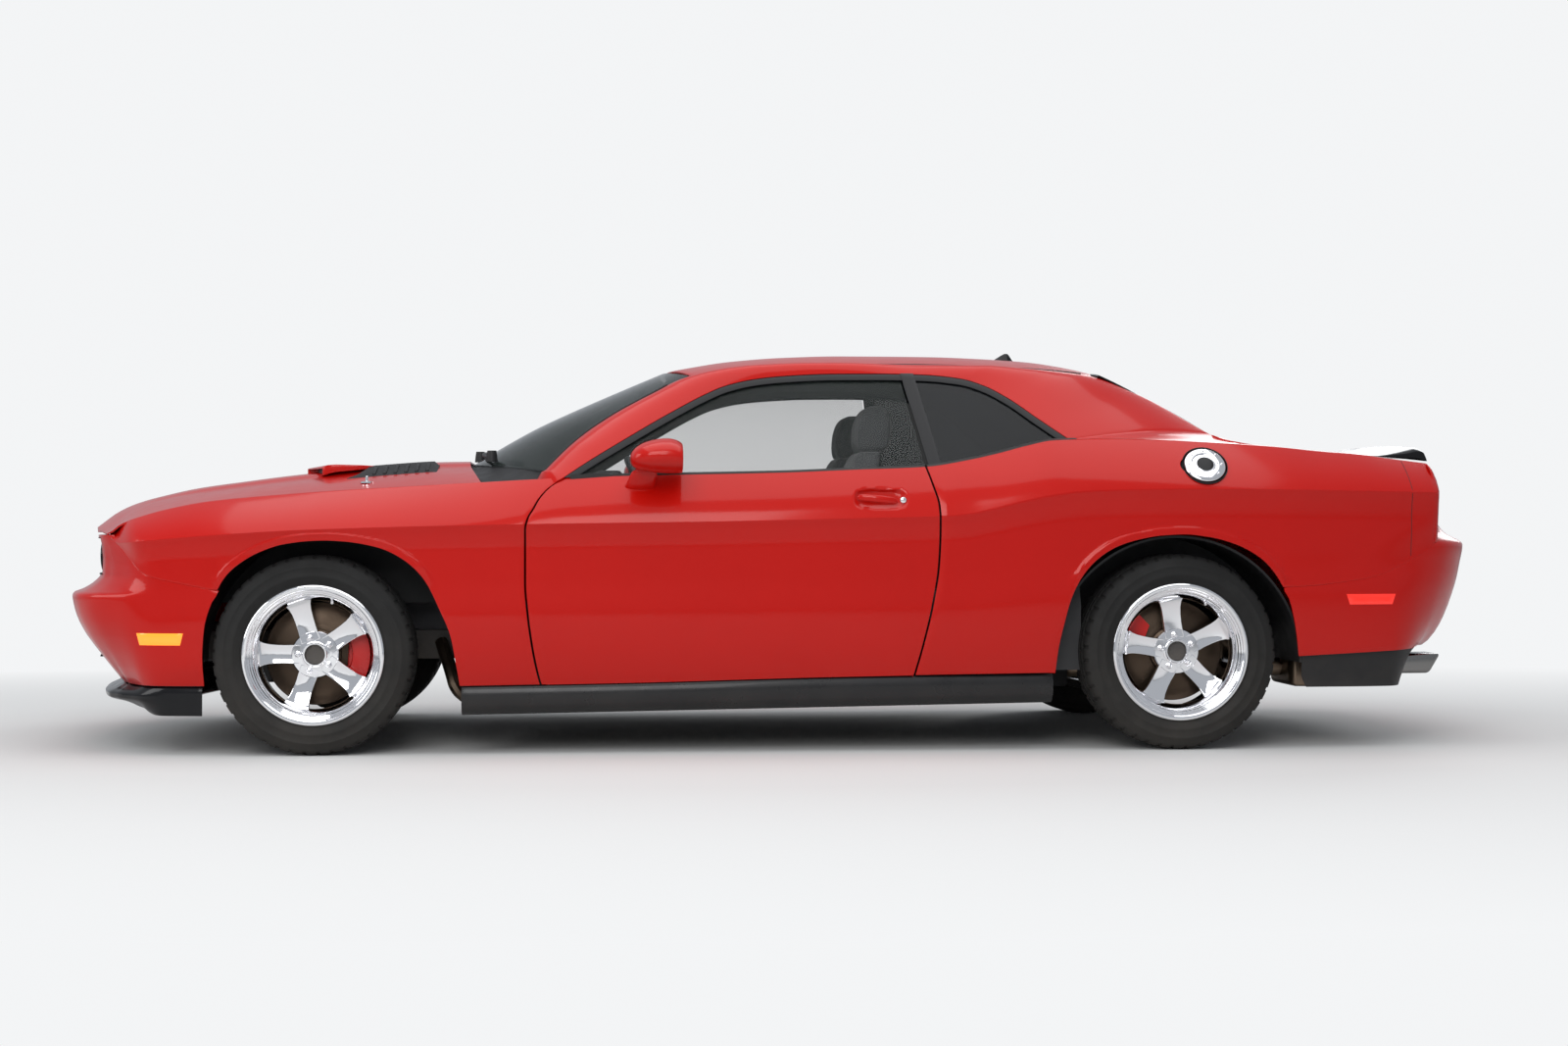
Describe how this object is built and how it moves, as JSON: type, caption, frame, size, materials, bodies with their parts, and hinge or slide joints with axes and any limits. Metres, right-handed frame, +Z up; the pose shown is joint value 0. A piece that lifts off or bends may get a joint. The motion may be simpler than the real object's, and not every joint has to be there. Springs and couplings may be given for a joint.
{
  "type": "two-door muscle coupe",
  "caption": "Red two-door coupe with long hood, black rear lip spoiler, bright five-spoke wheels, opening doors, hood, trunk lid and fuel door, and steered front wheels.",
  "frame": {"origin": "on the ground under the middle of the body's length and width", "axes": "+X to the rear, +Y to the passenger's side, +Z up; the front faces -X"},
  "size_m": [5.022, 2.17, 1.4009],
  "materials": {
    "paint": "gloss clear coat",
    "window_glass": "tinted glass",
    "seat_cloth": "grey seat cloth",
    "chassis_steel": "satin black",
    "caliper_red": "gloss",
    "bright_wheel": "polished",
    "tyre": "matte",
    "disc_iron": "turned",
    "lamp_red": "lens",
    "black_plastic": "grained",
    "lamp_clear": "lens",
    "trim_cloth": "felt",
    "bright_metal": "polished",
    "black_gloss": "gloss",
    "exhaust_steel": "heat tinted",
    "trim_plastic": "soft grain",
    "trim_leather": "soft",
    "engine_iron": "painted"
  },
  "bodies": {
    "body": {"chin_spoiler": "black_plastic", "console": "trim_plastic", "dashboard": "trim_plastic", "engine_block": "engine_iron", "exhaust": "exhaust_steel", "fender_left": "paint", "fender_right": "paint", "firewall": "chassis_steel", "floor_pan": "chassis_steel", "front_bumper": "paint", "front_seats": "seat_cloth", "front_subframe": "chassis_steel", "fuel_tank": "black_plastic", "grille": "black_plastic", "headlamps": "lamp_clear", "quarter_glass": "window_glass", "quarter_left": "paint", "quarter_right": "paint", "rear_axle": "chassis_steel", "rear_bumper": "paint", "rear_calipers": "caliper_red", "rear_glass": "window_glass", "rear_seat": "seat_cloth", "rear_shelf": "trim_cloth", "roof": "paint", "side_markers": "lamp_red", "sills": "black_plastic", "steering_wheel": "trim_leather", "tail_lamps": "lamp_red", "wheel_liners": "black_plastic", "windshield": "window_glass"},
    "hood": {"hood": "paint"},
    "trunk_lid": {"trunk_lid": "paint", "spoiler": "black_gloss"},
    "fuel_door": {"fuel_door": "bright_metal"},
    "door_left": {"door_left": "paint", "door_glass_left": "window_glass", "mirror_left": "paint"},
    "knuckle_left": {"knuckle_left": "chassis_steel", "front_caliper_left": "caliper_red"},
    "wheel_front_left": {"wheel_front_left": "bright_wheel", "tyre_front_left": "tyre", "disc_front_left": "disc_iron"},
    "wheel_rear_left": {"wheel_rear_left": "bright_wheel", "tyre_rear_left": "tyre", "disc_rear_left": "disc_iron"},
    "door_right": {"door_right": "paint", "door_glass_right": "window_glass", "mirror_right": "paint"},
    "knuckle_right": {"knuckle_right": "chassis_steel", "front_caliper_right": "caliper_red"},
    "wheel_front_right": {"wheel_front_right": "bright_wheel", "tyre_front_right": "tyre", "disc_front_right": "disc_iron"},
    "wheel_rear_right": {"wheel_rear_right": "bright_wheel", "tyre_rear_right": "tyre", "disc_rear_right": "disc_iron"}
  },
  "joints": [
    {"name": "steer_left", "type": "hinge", "parent": "body", "child": "knuckle_left", "pos_m": [-1.586, -0.718, 0.336], "axis": [0, 0, 1], "range_deg": [-30, 30]},
    {"name": "door_left_hinge", "type": "hinge", "parent": "body", "child": "door_left", "pos_m": [-0.797, -0.913, 0.6], "axis": [0, 0, -1], "range_deg": [0, 62]},
    {"name": "front_left_spin", "type": "hinge", "parent": "knuckle_left", "child": "wheel_front_left", "pos_m": [-1.586, -0.801, 0.336], "axis": [0, 1, 0], "continuous": true},
    {"name": "rear_left_spin", "type": "hinge", "parent": "body", "child": "wheel_rear_left", "pos_m": [1.36, -0.801, 0.336], "axis": [0, 1, 0], "continuous": true},
    {"name": "steer_right", "type": "hinge", "parent": "body", "child": "knuckle_right", "pos_m": [-1.586, 0.718, 0.336], "axis": [0, 0, 1], "range_deg": [-30, 30]},
    {"name": "door_right_hinge", "type": "hinge", "parent": "body", "child": "door_right", "pos_m": [-0.797, 0.913, 0.6], "axis": [0, 0, 1], "range_deg": [0, 62]},
    {"name": "front_right_spin", "type": "hinge", "parent": "knuckle_right", "child": "wheel_front_right", "pos_m": [-1.586, 0.801, 0.336], "axis": [0, 1, 0], "continuous": true},
    {"name": "rear_right_spin", "type": "hinge", "parent": "body", "child": "wheel_rear_right", "pos_m": [1.36, 0.801, 0.336], "axis": [0, 1, 0], "continuous": true},
    {"name": "hood_hinge", "type": "hinge", "parent": "body", "child": "hood", "pos_m": [-0.966, 0, 0.925], "axis": [0, 1, 0], "range_deg": [0, 55]},
    {"name": "trunk_hinge", "type": "hinge", "parent": "body", "child": "trunk_lid", "pos_m": [1.699, 0, 1.07], "axis": [0, -1, 0], "range_deg": [0, 72]},
    {"name": "fuel_door_hinge", "type": "hinge", "parent": "body", "child": "fuel_door", "pos_m": [1.37, -0.89958, 0.98271], "axis": [0, -0.5695, -0.822], "range_deg": [0, 90]}
  ],
  "couplings": [
    {"joint": "steer_right", "follows": "steer_left", "ratio": 1}
  ]
}
